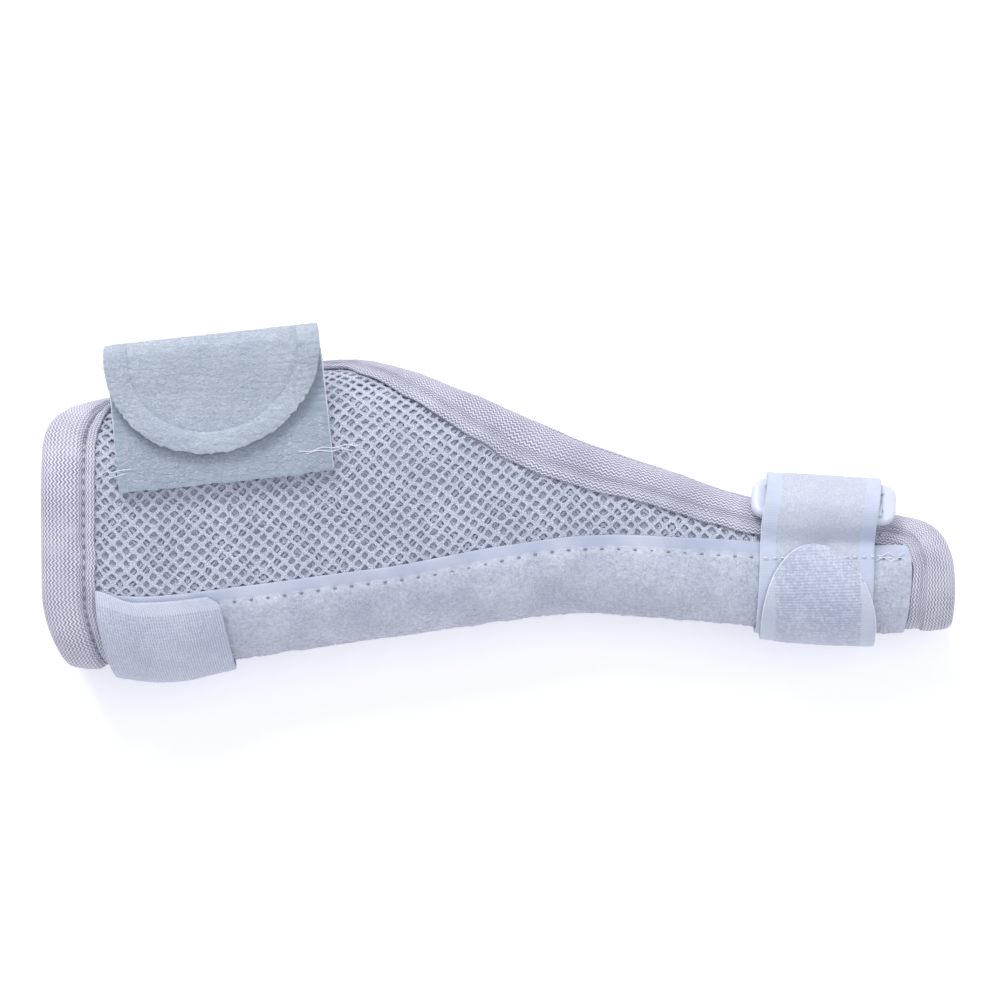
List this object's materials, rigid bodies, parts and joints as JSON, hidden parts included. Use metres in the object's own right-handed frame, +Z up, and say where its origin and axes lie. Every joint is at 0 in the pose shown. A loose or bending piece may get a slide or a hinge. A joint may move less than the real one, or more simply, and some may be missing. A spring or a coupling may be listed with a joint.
{
  "type": "thumb spica splint",
  "caption": "Soft mesh gutter splint for wrist and thumb, with bound edges, a folded wrist strap, a ring and a closure tab.",
  "frame": {"origin": "middle of the footprint, on the surface that the splint lies on with its back panel down", "axes": "+X from the forearm end to the thumb end, +Y from the spine to the open mouth, +Z up through the front panel"},
  "size_m": [0.2146, 0.0842, 0.0479],
  "materials": {
    "mesh": "knitted spacer mesh",
    "binding": "zigzag knit binding tape",
    "plush": "brushed loop pile",
    "hook_tape": "woven hook tape",
    "strap_plush": "brushed loop pile on foam",
    "loop_tape": "woven loop tape",
    "ring_plastic": "moulded, slightly translucent"
  },
  "bodies": {
    "root": {"mesh_shell": "mesh", "edge_binding": "binding", "thumb_end_binding": "binding", "plush_strip": "plush", "hook_flap": "hook_tape", "wrist_strap": "strap_plush", "thumb_ring": "ring_plastic", "thumb_loop_strap": "loop_tape", "thumb_closure_tab": "hook_tape"}
  },
  "joints": []
}
